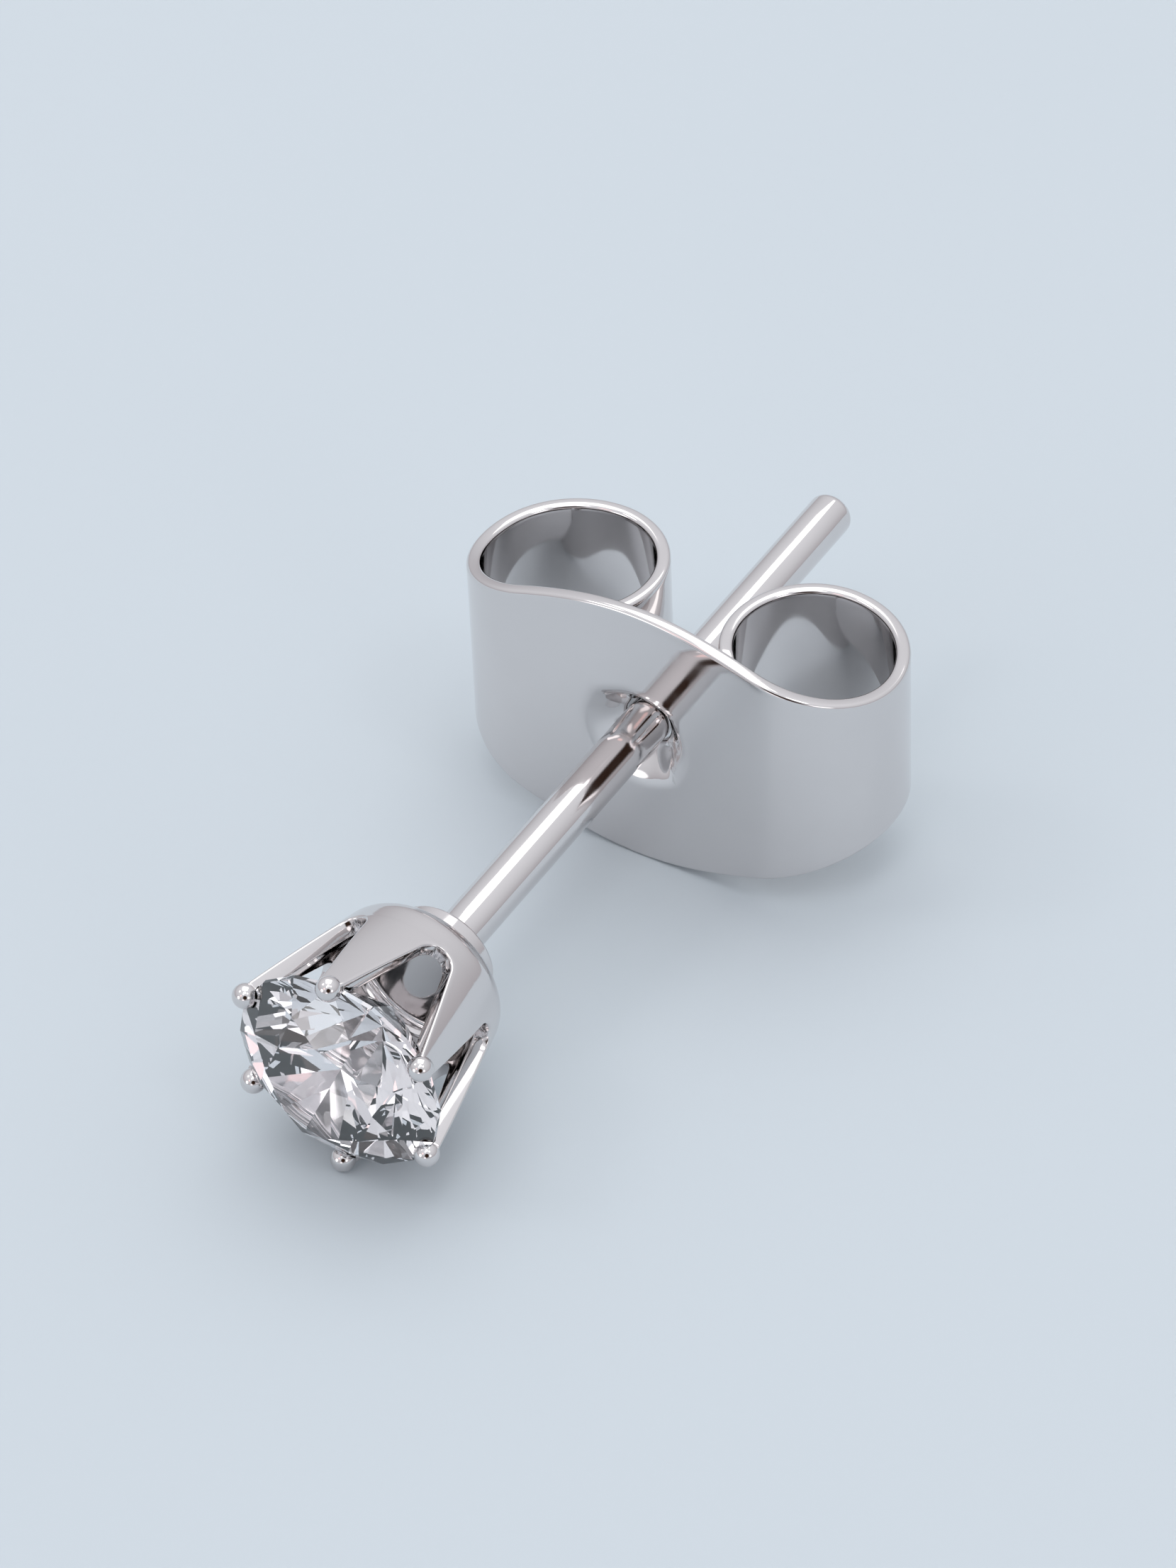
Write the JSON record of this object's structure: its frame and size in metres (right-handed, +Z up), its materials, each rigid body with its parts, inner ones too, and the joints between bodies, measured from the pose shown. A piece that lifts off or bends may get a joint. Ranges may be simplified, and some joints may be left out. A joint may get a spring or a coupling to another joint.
{
  "type": "stud earring",
  "caption": "Small stud earring: a clear round brilliant stone in a prong cup on a straight post, with a butterfly clutch that slides on the post.",
  "frame": {"origin": "centre of the bounding box, on the surface that the earring lies on", "axes": "+Z up from that surface; the stone faces -Y, dipping a little, and the post runs back along +Y; X is the width of the clutch"},
  "size_m": [0.0064, 0.013, 0.0043],
  "materials": {
    "polished_metal": "polished white metal",
    "clear_stone": "faceted, clear and colourless"
  },
  "bodies": {
    "stud": {"prong_setting": "polished_metal", "stone": "clear_stone"},
    "clutch": {"butterfly_clutch": "polished_metal"}
  },
  "joints": [
    {"name": "clutch_slide", "type": "slide", "parent": "stud", "child": "clutch", "axis": [0, 0.9978, 0.0657], "range_m": [-0.00455, 0.006]}
  ]
}
